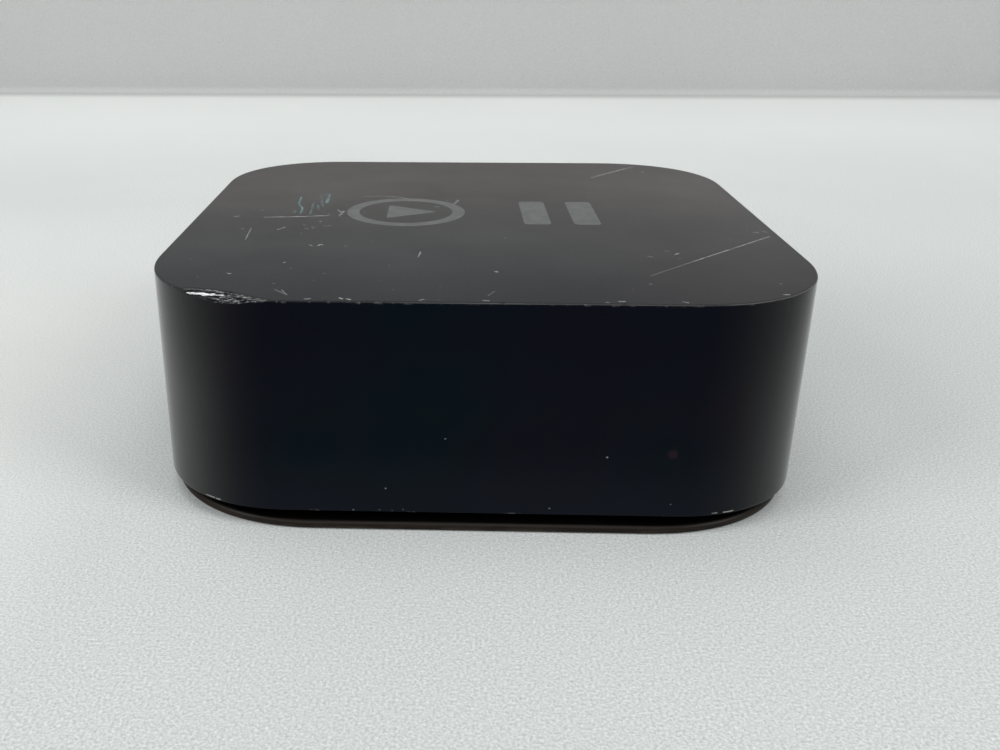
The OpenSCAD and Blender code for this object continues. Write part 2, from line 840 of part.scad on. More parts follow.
// Thin coaxial leads from the wireless module's sockets up to the two strips.
module antenna_leads() {
    color([0.15, 0.15, 0.16]) {
        wire([[-36, -11, 21.1], [-38, -10.8, 21.1], [-41, -10, 21.3], [-43.2, -8, 22.3],
              [-44, -6, 24.2], [-44.3, -4, 26.5]], 0.45);
        wire([[-36, -16, 21.1], [-39, -19, 21.1], [-41.3, -25, 21.1], [-39.5, -33, 21.1],
              [-32, -39, 21.1], [-18, -40.8, 21.1], [0, -41.2, 21.1], [18, -40.8, 21.1],
              [32, -39, 21.1], [39.5, -33, 21.1], [42, -25, 21.4], [43.4, -17, 22.6],
              [44.1, -10, 24.6], [44.3, -4, 26.5]], 0.45);
    }
}

upper_case();
base_cover();
foot_plate();
foot_ring();
fan_housing();
fan_lid();
fan_bearing();
fan_stator_core();
fan_coils();
fan_shaft();
fan_impeller();
fan_magnet();
fan_grommets();
fan_screws();
fan_cable();
heat_spreader();
thermal_pad();
spreader_screws();
logic_board();
main_processor();
memory_chips();
controller_chips();
board_inductors();
board_capacitors();
wireless_module();
board_shield();
board_connectors();
hdmi_shell();
hdmi_tongue();
hdmi_contacts();
ethernet_shell();
ethernet_insert();
ethernet_contacts();
inlet_housing();
inlet_pins();
power_posts();
stack_screws();
psu_board();
psu_insulator();
transformer_core();
transformer_winding();
bulk_capacitors();
line_choke();
line_fuse();
line_capacitors();
bridge_rectifier();
switching_transistor();
output_inductor();
output_capacitors();
sensor_board();
infrared_receiver();
status_led();
light_pipe();
sensor_flex();
left_antenna();
right_antenna();
antenna_leads();
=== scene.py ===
"""Looks for a square streaming media player: gloss sides, satin top, worn edges and a recessed foot."""
import json
import math
import random

import bmesh
import bpy
from mathutils import Matrix, Vector, noise


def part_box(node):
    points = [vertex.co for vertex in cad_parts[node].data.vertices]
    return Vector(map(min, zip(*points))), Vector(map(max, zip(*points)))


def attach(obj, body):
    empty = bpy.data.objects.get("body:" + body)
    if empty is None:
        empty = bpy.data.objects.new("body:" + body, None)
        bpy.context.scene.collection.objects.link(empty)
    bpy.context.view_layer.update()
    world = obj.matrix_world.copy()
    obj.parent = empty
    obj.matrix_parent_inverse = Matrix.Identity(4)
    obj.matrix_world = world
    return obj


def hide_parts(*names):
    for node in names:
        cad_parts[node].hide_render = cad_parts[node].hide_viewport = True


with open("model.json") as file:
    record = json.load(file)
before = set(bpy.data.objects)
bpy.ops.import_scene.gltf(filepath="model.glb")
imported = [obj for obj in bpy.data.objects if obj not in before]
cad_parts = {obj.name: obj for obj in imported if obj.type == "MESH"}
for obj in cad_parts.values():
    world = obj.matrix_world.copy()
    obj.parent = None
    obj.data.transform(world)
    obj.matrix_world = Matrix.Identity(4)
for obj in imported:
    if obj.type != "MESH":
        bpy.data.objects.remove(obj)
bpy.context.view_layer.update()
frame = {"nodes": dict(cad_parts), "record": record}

MM = 0.001
BODY = "chassis"

# ---------------------------------------------------------------- the case, measured on the frame

case_lo, case_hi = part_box("upper_case")
foot_lo, foot_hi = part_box("foot_plate")
ring_lo, ring_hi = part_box("foot_ring")
HALF = (case_hi.x - case_lo.x) / 2
TOP = case_hi.z
EDGE = case_lo.z
CORNER = 22 * MM                        # how far a corner's curve reaches along each side
POWER = 2.2                             # the corners' superellipse power
WALL = 2 * MM
ROOF = 2.2 * MM                         # the thickness of the case's top
TOP_ROUND = 0.28 * MM
LOW_ROUND = 0.22 * MM
FOOT_T = 1.2 * MM                       # the thickness of the foot plate
FOOT_CORNER = 25.5 * MM
RING_CORNER = 18 * MM
RING_WIDTH = 5 * MM

# ---------------------------------------------------------------- small helpers


def link(obj):
    """Puts an object in the scene and hands it back."""
    bpy.context.scene.collection.objects.link(obj)
    return obj


def mesh_object(name, verts, faces, smooth=True):
    """A linked object with this mesh."""
    mesh = bpy.data.meshes.new(name)
    mesh.from_pydata([tuple(v) for v in verts], [], faces)
    mesh.validate()
    mesh.update()
    for face in mesh.polygons:
        face.use_smooth = smooth
    return link(bpy.data.objects.new(name, mesh))


def recalculate_outside(obj):
    """Turns every face of a closed mesh outwards."""
    bm = bmesh.new()
    bm.from_mesh(obj.data)
    bmesh.ops.recalc_face_normals(bm, faces=bm.faces)
    bm.to_mesh(obj.data)
    bm.free()


def sharpen(obj, degrees=35):
    """Smooth shading that breaks at edges steeper than this angle."""
    bm = bmesh.new()
    bm.from_mesh(obj.data)
    limit = math.radians(degrees)
    for edge in bm.edges:
        edge.smooth = len(edge.link_faces) == 2 and edge.calc_face_angle(0) < limit
    for face in bm.faces:
        face.smooth = True
    bm.to_mesh(obj.data)
    bm.free()


def apply_modifiers(obj):
    """Puts the modifiers' result in place of the object's mesh."""
    deps = bpy.context.evaluated_depsgraph_get()
    mesh = bpy.data.meshes.new_from_object(obj.evaluated_get(deps))
    obj.modifiers.clear()
    old = obj.data
    obj.data = mesh
    bpy.data.meshes.remove(old)


def unit_outline():
    """Where a soft square's points lie, as (quarter, share of the straight side or None, corner angle).

    Quarter 0 is the front side and the corner after it, then the right, back and left follow.
    The front and the corners beside it have the most points, because the worn edge is cut there.
    """
    fine, coarse = 0.3 * MM, 1.1 * MM
    straight = 2 * (HALF - CORNER)
    points = []
    for quarter in range(4):
        count = int(straight / (fine if quarter == 0 else coarse))
        points += [(quarter, i / count, None) for i in range(count)]
        steps = 120 if quarter in (0, 3) else 56
        points += [(quarter, None, math.pi / 2 * i / steps) for i in range(steps)]
    return points


OUTLINE = unit_outline()


def soft_square(half, corner):
    """The outline's points for one half-width and corner reach, anticlockwise from the front left."""
    points = []
    flat = half - corner
    exponent = 2 / POWER
    for quarter, share, angle in OUTLINE:
        if angle is None:
            x, y = -flat + 2 * flat * share, -half
        else:
            x = flat + corner * math.sin(angle) ** exponent
            y = -flat - corner * math.cos(angle) ** exponent
        turn = Matrix.Rotation(quarter * math.pi / 2, 2)
        points.append(turn @ Vector((x, y)))
    return points


def loft(name, stations, capped=True):
    """A skin through soft squares, each given as (half, corner, z). Uncapped, the last joins the first."""
    verts, faces = [], []
    count = len(OUTLINE)
    for half, corner, z in stations:
        verts += [(p.x, p.y, z) for p in soft_square(half, corner)]
    rings = len(stations)
    for ring in range(rings - 1 if capped else rings):
        a, b = ring * count, (ring + 1) % rings * count
        faces += [(a + k, a + (k + 1) % count, b + (k + 1) % count, b + k) for k in range(count)]
    if capped:
        faces.append(tuple(reversed(range(count))))
        faces.append(tuple(range((rings - 1) * count, rings * count)))
    return mesh_object(name, verts, faces)


def prism(outline, z_low, z_high):
    """Vertices and faces of an upright prism, with the outline given anticlockwise."""
    count = len(outline)
    verts = [(x, y, z) for z in (z_low, z_high) for x, y in outline]
    faces = [(i, (i + 1) % count, count + (i + 1) % count, count + i) for i in range(count)]
    return verts, faces + [tuple(reversed(range(count))), tuple(range(count, 2 * count))]


def arc(centre_inset, centre_z, radius, start, end, steps):
    """Stations round an edge, as (inset, z): angle 0 points out, 90 degrees points up."""
    for i in range(steps + 1):
        a = math.radians(start + (end - start) * i / steps)
        yield centre_inset - radius * math.cos(a), centre_z + radius * math.sin(a)


# ---------------------------------------------------------------- node materials


class Nodes:
    """A material's node tree, with short calls for the nodes used here."""

    def __init__(self, name):
        self.material = bpy.data.materials.new(name)
        self.material.use_nodes = True
        self.tree = self.material.node_tree
        self.shader = self.tree.nodes["Principled BSDF"]
        self.where = self.new("ShaderNodeTexCoord").outputs["Object"]

    def new(self, kind, **settings):
        """A node of this kind, with these settings."""
        node = self.tree.nodes.new(kind)
        for key, value in settings.items():
            setattr(node, key, value)
        return node

    def join(self, source, socket):
        self.tree.links.new(source, socket)

    def put(self, socket, value):
        """Gives a socket a link or a constant."""
        if isinstance(value, bpy.types.NodeSocket):
            self.join(value, socket)
        else:
            socket.default_value = value

    def set(self, **values):
        """Sets the shader's own sockets, by the names in SOCKETS."""
        for key, value in values.items():
            self.put(self.shader.inputs[SOCKETS[key]], value)

    def scaled(self, scale):
        """The place, stretched by a factor along each axis."""
        node = self.new("ShaderNodeMapping")
        self.join(self.where, node.inputs["Vector"])
        node.inputs["Scale"].default_value = scale
        return node.outputs["Vector"]

    def noise(self, scale, detail=3, rough=0.55, stretch=None):
        """Noise with scale features per metre."""
        node = self.new("ShaderNodeTexNoise")
        self.join(self.scaled(stretch) if stretch else self.where, node.inputs["Vector"])
        node.inputs["Scale"].default_value = scale
        node.inputs["Detail"].default_value = detail
        node.inputs["Roughness"].default_value = rough
        return node.outputs["Fac"]

    def math(self, operation, a, b, clamp=False):
        node = self.new("ShaderNodeMath", operation=operation, use_clamp=clamp)
        self.put(node.inputs[0], a)
        self.put(node.inputs[1], b)
        return node.outputs[0]

    def times(self, a, b):
        return self.math("MULTIPLY", a, b)

    def most(self, a, b):
        return self.math("MAXIMUM", a, b)

    def span(self, value, low, high, to_low=0.0, to_high=1.0, smooth=False):
        """Maps low..high to to_low..to_high, and holds the end values beyond them."""
        node = self.new("ShaderNodeMapRange", interpolation_type="SMOOTHSTEP" if smooth else "LINEAR")
        self.put(node.inputs["Value"], value)
        node.inputs["From Min"].default_value = low
        node.inputs["From Max"].default_value = high
        node.inputs["To Min"].default_value = to_low
        node.inputs["To Max"].default_value = to_high
        return node.outputs["Result"]

    def mix(self, share, a, b):
        """From colour a towards colour b by this share."""
        node = self.new("ShaderNodeMix", data_type="RGBA")
        self.put(node.inputs["Factor"], share)
        self.put(node.inputs["A"], rgba(a))
        self.put(node.inputs["B"], rgba(b))
        return node.outputs["Result"]

    def bump(self, height, distance, strength=1.0):
        node = self.new("ShaderNodeBump")
        self.put(node.inputs["Height"], height)
        node.inputs["Distance"].default_value = distance
        node.inputs["Strength"].default_value = strength
        return node.outputs["Normal"]

    def axes(self):
        """The place, as x, y and z."""
        node = self.new("ShaderNodeSeparateXYZ")
        self.join(self.where, node.inputs[0])
        return node.outputs

    def facing(self):
        """The surface's own normal, as x, y and z."""
        node = self.new("ShaderNodeSeparateXYZ")
        self.join(self.new("ShaderNodeTexCoord").outputs["Normal"], node.inputs[0])
        return node.outputs


SOCKETS = {
    "base_color": "Base Color", "roughness": "Roughness", "metallic": "Metallic", "normal": "Normal",
    "ior": "IOR", "specular": "Specular IOR Level", "transmission": "Transmission Weight",
}


def rgba(colour):
    """A plain colour with an alpha of 1. A node's output passes unchanged."""
    if isinstance(colour, (tuple, list)) and len(colour) == 3:
        return (*colour, 1.0)
    return colour


def shade(colour, factor):
    """A lighter or darker colour."""
    return tuple(min(1.0, c * factor) for c in colour)


# ---------------------------------------------------------------- wear marks, shared by the case's faces

# Each long scratch on the top: from (x, y) to (x, y), in mm from the middle, then width and strength.
TOP_SCRATCHES = [
    ((-37, -3), (-31, -2.3), 0.20, 0.9), ((-31, -2.3), (-26, -1.4), 0.20, 0.9),
    ((-38, -10.5), (-37.6, -18), 0.13, 0.5), ((-33.4, -11.5), (-32.5, -10), 0.20, 0.8),
    ((-21, 14), (-17.5, 14.5), 0.22, 0.55), ((-17.5, 14.5), (-14, 13.5), 0.22, 0.55),
    ((-14, 13.5), (-11.5, 11.5), 0.22, 0.55), ((-4.6, 6), (-3, 11.4), 0.24, 0.45),
    ((24, -36), (31.6, -28.5), 0.11, 0.4), ((31.6, -28.5), (47.2, -13.4), 0.12, 0.8),
    ((24.4, 33), (33, 43), 0.26, 0.6), ((33, 43), (35, 45), 0.24, 0.35),
    ((-28.7, -44.2), (-27, -46.2), 0.11, 0.4), ((-27.7, -44.4), (-26.7, -46.5), 0.11, 0.45),
    ((0.4, -46), (1.4, -44), 0.10, 0.3), ((-9.5, -27.5), (-9.2, -24.5), 0.14, 0.6),
    ((-24.8, 3), (-23.9, 0.7), 0.16, 0.55), ((-24.1, -1.7), (-23.5, 2), 0.16, 0.55),
]
# Small nicks: a spot's middle (x, y) in mm, how far nicks scatter in x and in y, and how many there are.
NICK_SPOTS = [
    (-26.5, -8, 3.5, 3.5, 7), (-26, -21, 1.2, 0.9, 3), (-25, 0, 1.2, 2, 4), (-4, 8, 4.5, 4, 5),
    (29, -22, 2, 3, 2), (23.2, -39.9, 0.2, 0.2, 1), (2.3, -34.5, 0.7, 0.3, 2), (45, -8, 3, 3, 3),
    (36, 39.6, 0.8, 0.8, 1), (-41, 0, 4, 5, 2), (-33, -35, 4, 4, 2), (-21, -47.9, 5, 0.5, 3),
    (-5, -47.9, 5, 0.5, 2), (12, -48, 6, 0.4, 3), (28, -47.6, 4, 0.4, 1), (40, -44.4, 1.5, 0.3, 1),
]
# The blue-green marks left of the middle, as short strokes in the same form as the scratches.
TOP_STROKES = [
    ((-32.7, 13), (-32.5, 7.7), 0.3, 0.9), ((-32.5, 7.7), (-31.3, 4), 0.3, 0.9),
    ((-31.3, 4), (-31.1, -0.2), 0.3, 0.9), ((-32.3, 2.2), (-32.4, 0.5), 0.3, 0.7),
    ((-29.8, 8), (-29.4, -0.2), 0.24, 0.6), ((-28.8, 6.4), (-28.3, 3.3), 0.26, 0.6),
    ((-29.1, 15), (-27.6, 16.2), 0.32, 0.8), ((-27.6, 16), (-27.4, 8.5), 0.42, 0.8),
    ((-28.6, 11), (-27.8, 5.7), 0.24, 0.6), ((-29.3, 13.9), (-28.7, 12.7), 0.24, 0.6),
]
# Specks on the front face: x and z in mm, then size and strength.
FRONT_SPECKS = [
    (-33.1, 18.8, 0.10, 0.35), (-5.1, 15.0, 0.11, 0.5), (17.5, 12.5, 0.13, 0.6), (-13.5, 7.0, 0.11, 0.5),
    (36.8, 29.0, 0.16, 0.5), (36.0, 32.0, 0.10, 0.3), (9.9, 4.2, 0.12, 0.4), (27.0, 5.2, 0.11, 0.3),
    (-11.0, 3.6, 0.10, 0.35), (-14.4, 3.5, 0.10, 0.3), (-18.2, 3.4, 0.12, 0.5), (-12.6, 3.4, 0.09, 0.3),
]
# Chips in the lower edge, from (x, y, z) to (x, y, z) in mm, then width and strength.
EDGE_CHIPS = [
    ((-40.3, -45.3, 3.45), (-38.9, -46.2, 3.45), 0.11, 0.7),
    ((-38.6, -46.35, 3.42), (-38.0, -46.7, 3.42), 0.14, 0.6),
    ((34.9, -47.9, 3.45), (36.4, -47.4, 3.45), 0.12, 0.7),
    ((33.2, -48.35, 3.5), (33.9, -48.2, 3.5), 0.12, 0.5),
]
# The status light behind the front: x and z in mm.
LAMP = (26.6, 13.1)
LAMP_SIZE = 0.9
LAMP_STRENGTH = 0.5


def distance_group():
    """A node group: how much a point lies on the line from A to B, 1 on it and 0 past its width."""
    group = bpy.data.node_groups.new("line_mark", "ShaderNodeTree")
    sockets = group.interface
    for name in ("P", "A", "B"):
        sockets.new_socket(name, in_out="INPUT", socket_type="NodeSocketVector")
    for name in ("Width", "Wobble"):
        sockets.new_socket(name, in_out="INPUT", socket_type="NodeSocketFloat")
    sockets.new_socket("Mask", in_out="OUTPUT", socket_type="NodeSocketFloat")
    nodes, links = group.nodes, group.links
    given = nodes.new("NodeGroupInput").outputs
    result = nodes.new("NodeGroupOutput").inputs

    def vector(operation, a, b=None, scale=None):
        node = nodes.new("ShaderNodeVectorMath")
        node.operation = operation
        links.new(a, node.inputs[0])
        if b is not None:
            links.new(b, node.inputs[1])
        if scale is not None:
            links.new(scale, node.inputs["Scale"])
        return node.outputs["Value" if operation in ("DOT_PRODUCT", "LENGTH") else "Vector"]

    def plain(operation, a, b):
        # MAXIMUM and MINIMUM do the clamping: use_clamp on so many marks would overflow the shader's stack
        node = nodes.new("ShaderNodeMath")
        node.operation = operation
        for socket, value in zip(node.inputs, (a, b)):
            if isinstance(value, bpy.types.NodeSocket):
                links.new(value, socket)
            else:
                socket.default_value = value
        return node.outputs[0]

    along = vector("SUBTRACT", given["B"], given["A"])
    away = vector("SUBTRACT", given["P"], given["A"])
    share = plain("DIVIDE", vector("DOT_PRODUCT", away, along), vector("DOT_PRODUCT", along, along))
    share = plain("MAXIMUM", plain("MINIMUM", share, 1.0), 0.0)
    off = vector("LENGTH", vector("SUBTRACT", away, vector("SCALE", along, scale=share)))
    reach = plain("DIVIDE", plain("DIVIDE", off, given["Width"]), given["Wobble"])
    core = plain("MAXIMUM", plain("SUBTRACT", 1.0, reach), 0.0)
    steepness = 2.2
    links.new(plain("MINIMUM", plain("MULTIPLY", core, steepness), 1.0), result["Mask"])
    return group


LINE_MARK = distance_group()


def marks(nodes, lines, wobble):
    """The most of any line's mask. A line is two points in mm, a width in mm and a strength."""
    total = None
    place = nodes.new("ShaderNodeVectorMath", operation="SCALE")
    nodes.join(nodes.where, place.inputs[0])
    place.inputs["Scale"].default_value = 1 / MM
    for a, b, width, strength in lines:
        node = nodes.new("ShaderNodeGroup", node_tree=LINE_MARK)
        nodes.join(place.outputs["Vector"], node.inputs["P"])
        node.inputs["A"].default_value = a
        node.inputs["B"].default_value = b
        node.inputs["Width"].default_value = width
        nodes.put(node.inputs["Wobble"], wobble)
        mask = nodes.times(node.outputs["Mask"], strength)
        total = mask if total is None else nodes.most(total, mask)
    return total


def nicks():
    """Short marks scattered about each spot, mostly lying from side to side, measured in mm."""
    lean, length, width, strength = (-0.9, 0.9), (0.2, 0.8), (0.14, 0.21), (0.5, 0.9)
    lines = []
    for x, y, across, deep, count in NICK_SPOTS:
        for _ in range(count):
            start = Vector((x + random.uniform(-across, across), y + random.uniform(-deep, deep)))
            angle = random.uniform(*lean)
            end = start + random.uniform(*length) * Vector((math.cos(angle), math.sin(angle)))
            lines.append((tuple(start), tuple(end), random.uniform(*width), random.uniform(*strength)))
    return lines


def on_top(lines):
    """Flat lines, raised to the top."""
    height = TOP / MM
    return [((*a, height), (*b, height), width, strength) for a, b, width, strength in lines]


def on_front(specks):
    """Specks as short level lines on the front face."""
    face = -HALF / MM
    return [((x, face, z), (x + size * 0.7, face, z), size, strength) for x, z, size, strength in specks]


def lamp_spot():
    """The status light as one round spot: a line too short to be seen as one."""
    x, z = LAMP
    face = -HALF / MM
    return [((x, face, z), (x + 0.01, face, z), LAMP_SIZE, LAMP_STRENGTH)]


# ---------------------------------------------------------------- the case's own materials


def case_top_material():
    """Satin plastic with a painted warm sheen towards the back, paler to the right, with scratches,
    strokes and dust.
    """
    m = Nodes("case_top")
    x, y, _ = m.axes()
    patches = m.noise(28, 3)
    # painted reflection: paler and warmer towards the back, as the grazing sheen of the pale surroundings,
    # cooler at the front
    back_sheen_share = m.span(y, -HALF, HALF, smooth=True)
    colour = m.mix(back_sheen_share, (0.0066, 0.0073, 0.0108), (0.0260, 0.0098, 0.0050))
    colour = m.mix(m.span(patches, 0.3, 0.7, 0.0, 0.35), colour, (0.012, 0.012, 0.013))
    colour = m.mix(m.span(m.noise(3600, 2, 0.8), 0.35, 0.65, 0.0, 0.9), colour, (0.026, 0.026, 0.028))
    colour = m.mix(m.span(x, 0.2 * HALF, 0.9 * HALF, 0.0, 0.45), colour, (0.038, 0.031, 0.032))

    wobble = m.span(m.noise(1400, 2), 0.25, 0.75, 0.35, 1.35)
    fading = m.span(m.noise(600, 2), 0.35, 0.6, 0.5, 1.0)
    scratches = m.times(marks(m, on_top(TOP_SCRATCHES + nicks()), wobble), fading)
    strokes = marks(m, on_top(TOP_STROKES), wobble)
    dust_spots = m.span(m.noise(900, 1, 0.4), 0.79, 0.83, 0.0, 0.3)
    light = m.most(scratches, dust_spots)
    colour = m.mix(light, colour, (0.40, 0.405, 0.40))
    colour = m.mix(m.times(m.times(strokes, fading), 0.8), colour, (0.14, 0.25, 0.25))

    rough = m.span(patches, 0.3, 0.7, 0.40, 0.50)
    rough = m.math("ADD", rough, m.times(m.most(light, strokes), 0.2), clamp=True)
    m.set(base_color=colour, roughness=rough, specular=m.span(y, -HALF, HALF, 0.10, 0.58))
    m.set(normal=m.bump(m.noise(9000, 2, 0.7), 0.004 * MM))
    return m.material


def side_wear_and_highlight(m, x, z, wipe):
    """How much bare, pale plastic shows where the side's top and bottom edges have rubbed, and a painted
    highlight along the top edge.
    """
    top_rub = m.span(z, TOP - 0.42 * MM, TOP - 0.12 * MM)
    low_rub = m.span(z, EDGE + 0.42 * MM, EDGE + 0.10 * MM)
    chipped = m.span(m.noise(800, 4, 0.75), 0.53, 0.68)
    sparse = m.span(m.noise(420, 4, 0.7), 0.60, 0.72)
    worn = m.times(m.most(m.times(top_rub, chipped), m.times(low_rub, sparse)), 0.36)
    # painted highlight: a thin pale line runs along the top edge, stronger to the right, where the rounded
    # edge catches the light
    highlight_band = m.span(z, TOP - 0.25 * MM, TOP - 0.13 * MM)
    highlight_strength = m.times(m.span(x, -24 * MM, 12 * MM, 0.05, 0.24), m.span(wipe, 0.3, 0.7, 0.4, 1.4))
    return m.most(worn, m.times(highlight_band, highlight_strength))


def case_side_material():
    """Gloss plastic: a faint haze, painted reflection as a paler band low down and round the corners, and
    worn edges with a painted highlight along the top.
    """
    m = Nodes("case_side")
    x, _, z = m.axes()
    nx = m.facing()[0]
    haze = m.noise(30, 3, 0.5)
    wipe = m.noise(260, 3, 0.6, stretch=(0.35, 0.35, 3.0))
    cool, violet = (0.0008, 0.0042, 0.0062), (0.0032, 0.0028, 0.0062)
    colour = m.mix(m.span(haze, 0.3, 0.7, smooth=True), cool, violet)
    # painted reflection: the face turns paler towards the bottom, where it mirrors the pale floor
    low_reflection_band = m.span(z, EDGE, EDGE + 12 * MM, 0.6, 0.0, smooth=True)
    colour = m.mix(low_reflection_band, colour, (0.0070, 0.0080, 0.0120))
    # painted reflection: paler round the corners and flanks, where they mirror the pale surroundings at a
    # grazing angle
    turned_sheen = m.most(m.span(nx, -0.05, -0.65, smooth=True), m.span(nx, 0.05, 0.70, smooth=True))
    colour = m.mix(turned_sheen, colour, (0.0128, 0.0126, 0.0128))

    wobble = m.span(m.noise(1600, 2), 0.25, 0.75, 0.5, 1.3)
    specks = marks(m, on_front(FRONT_SPECKS) + EDGE_CHIPS, wobble)
    colour = m.mix(marks(m, lamp_spot(), 1.0), colour, (0.019, 0.011, 0.014))
    light = m.most(side_wear_and_highlight(m, x, z, wipe), specks)
    colour = m.mix(light, colour, (0.33, 0.32, 0.31))

    rough = m.span(m.noise(45, 4, 0.6), 0.3, 0.75, 0.05, 0.13)
    rough = m.math("ADD", rough, m.span(wipe, 0.4, 0.8, 0.0, 0.04))
    rough = m.math("ADD", rough, m.times(light, 0.35), clamp=True)
    # the corners and flanks shine more than the front, and all of them less just under the top edge
    left_polish = m.span(nx, -0.20, -0.82, 0.045, 0.34, smooth=True)
    right_polish = m.span(nx, 0.20, 0.85, 0.0, 0.15, smooth=True)
    polish = m.math("ADD", left_polish, right_polish)
    polish = m.times(polish, m.span(z, TOP - 16 * MM, TOP - 3 * MM, 1.0, 0.6))
    m.set(base_color=colour, roughness=rough, specular=polish)
    m.set(normal=m.bump(m.noise(60, 2), 0.006 * MM))
    return m.material


def gouge_material():
    """Scraped plastic: a pale burr above, a painted highlight along the torn ridge, and dark below with
    loose flecks.
    """
    m = Nodes("case_gouge")
    x, _, z = m.axes()
    tears = m.noise(900, 4, 0.7, stretch=(0.22, 0.5, 2.0))
    bits = m.noise(3000, 3, 0.7, stretch=(0.4, 1, 1))
    depth = m.math("SUBTRACT", TOP, z)
    # the painted highlight on the ridge follows the tears, and to the right it rises towards the top and
    # fades
    off = m.math("ADD", depth, m.span(tears, 0.3, 0.7, -0.09 * MM, 0.09 * MM))
    off = m.math("ADD", off, m.span(x, -38.0 * MM, -33.0 * MM, 0.0, 0.16 * MM))
    ridge_highlight = m.times(m.span(off, 0.32 * MM, 0.36 * MM), m.span(off, 0.45 * MM, 0.40 * MM))
    ridge_highlight = m.times(ridge_highlight, m.span(x, -35.0 * MM, -36.4 * MM, 0.12, 1.0))
    ridge_highlight = m.times(ridge_highlight, m.span(bits, 0.35, 0.55, 0.35, 0.9))
    flecks = m.times(m.span(bits, 0.53, 0.60), m.span(x, -38.0 * MM, -35.8 * MM, 0.08, 0.7))
    flecks = m.times(flecks, m.span(x, -29.8 * MM, -31.0 * MM, 0.0, 1.0))
    burr = m.times(m.span(depth, 0.17 * MM, 0.08 * MM), m.span(tears, 0.35, 0.55, 0.2, 0.55))
    colour = m.mix(m.span(tears, 0.45, 0.6), (0.0015, 0.0015, 0.0020), (0.014, 0.014, 0.016))
    colour = m.mix(flecks, colour, (0.30, 0.30, 0.31))
    colour = m.mix(burr, colour, (0.26, 0.25, 0.24))
    colour = m.mix(ridge_highlight, colour, (0.86, 0.86, 0.87))
    m.set(base_color=colour, roughness=m.span(bits, 0.3, 0.7, 0.3, 0.55), specular=0.04)
    m.set(normal=m.bump(tears, 0.16 * MM, 0.9))
    return m.material


def inside_material():
    """Unpolished plastic on the case's inner faces."""
    m = Nodes("case_inside")
    grain = m.noise(2600, 2)
    m.set(base_color=m.mix(grain, (0.010, 0.010, 0.011), (0.018, 0.018, 0.019)), roughness=0.55)
    m.set(normal=m.bump(grain, 0.01 * MM))
    return m.material


# ---------------------------------------------------------------- the case's shape

FRONT = -HALF * 0.7                     # only the stretch in front of this y is cut
GOUGE_X = (-41.7 * MM, -27.9 * MM)      # where the gouge starts and ends along the front
GOUGE_IN = 2.5 * MM                     # how far it reaches in from the side at its deepest
GOUGE_DOWN = 0.9 * MM                   # how far it reaches down from the top
# Small dents in the top edge: where along x, half-length and depth, in mm.
EDGE_DENTS = [
    (-15.8, 0.8, 0.16), (-14.2, 0.5, 0.12), (-7.2, 0.5, 0.14), (-2.6, 0.4, 0.10), (2.2, 1.1, 0.15),
    (4.6, 0.5, 0.12), (11.0, 0.5, 0.10), (18.2, 0.9, 0.18), (24.0, 0.5, 0.12), (30.5, 0.7, 0.13),
    (36.5, 0.6, 0.12), (-24.0, 0.7, 0.14), (41.2, 1.2, 0.14), (44.6, 0.8, 0.12),
]


def edge_depth(x):
    """How deep the front's top edge is cut at this x, and whether that is in the gouge.

    A depth of 1 is the gouge at its deepest.
    """
    start, end = GOUGE_X
    share = (x - start) / (end - start)
    gouged = 0.0 < share < 1.0
    deep = 0.0
    if gouged:
        swell = math.sin(math.pi * share ** 0.78) ** 1.05
        deep = swell * (1 + 0.12 * noise.noise(Vector((x / MM * 0.8, 3.7, 0.2))))
    for at, reach, depth in EDGE_DENTS:
        off = abs(x / MM - at) / reach
        if off < 1:
            deep = max(deep, depth * (1 - off * off))
    return deep, gouged


def cut_edge(obj):
    """Presses the gouge and the small dents into the top edge, and names the gouge's vertices."""
    lowest, innermost = 3 * MM, 3.4 * MM
    slope = 1 / GOUGE_IN ** 2 + 1 / GOUGE_DOWN ** 2
    flat = HALF - CORNER
    gouged_vertices = set()
    for v in obj.data.vertices:
        down = TOP - v.co.z
        if down > lowest or v.co.y > FRONT:
            continue
        deep, gouged = edge_depth(v.co.x)
        if deep <= 0:
            continue
        reach = Vector((max(abs(v.co.x) - flat, 0.0), -v.co.y - flat))
        inset = CORNER - (reach.x ** POWER + reach.y ** POWER) ** (1 / POWER)
        if inset > innermost:
            continue
        rough = 1 + 0.22 * noise.noise(Vector((v.co.x / MM * 0.9, inset / MM * 4, down / MM * 4)))
        short = deep * rough - inset / GOUGE_IN - down / GOUGE_DOWN
        if short <= 0:
            continue
        inward = Vector((-reach.x * math.copysign(1, v.co.x), reach.y)).normalized()
        v.co.x += inward.x * short / slope / GOUGE_IN
        v.co.y += inward.y * short / slope / GOUGE_IN
        v.co.z -= short / slope / GOUGE_DOWN
        if gouged and short > 0.04:
            gouged_vertices.add(v.index)
    return gouged_vertices


def case_stations():
    """Soft squares from the ceiling's middle down the inside, round the lower edge and up to the top."""
    rows = [(16 * MM, TOP - ROOF), (WALL, TOP - ROOF), (WALL, EDGE)]
    rows += list(arc(LOW_ROUND, EDGE + LOW_ROUND, LOW_ROUND, -90, 0, 4))
    rows += [(0.0, EDGE + up * MM) for up in (0.6, 1.5, 4, 10, 18, 26)]
    # close rows where the edge is cut: 14 down the side and 19 in across the top
    rows += [(0.0, TOP - (2.8 - 0.17 * i) * MM) for i in range(14)]
    rows += list(arc(TOP_ROUND, TOP - TOP_ROUND, TOP_ROUND, 0, 90, 6))
    rows += [((0.42 + 0.16 * i) * MM, TOP) for i in range(19)]
    rows += [(inset * MM, TOP) for inset in (4, 6, 12, 20)]
    return [(HALF - inset, max(CORNER - inset, 3 * MM), z) for inset, z in rows]


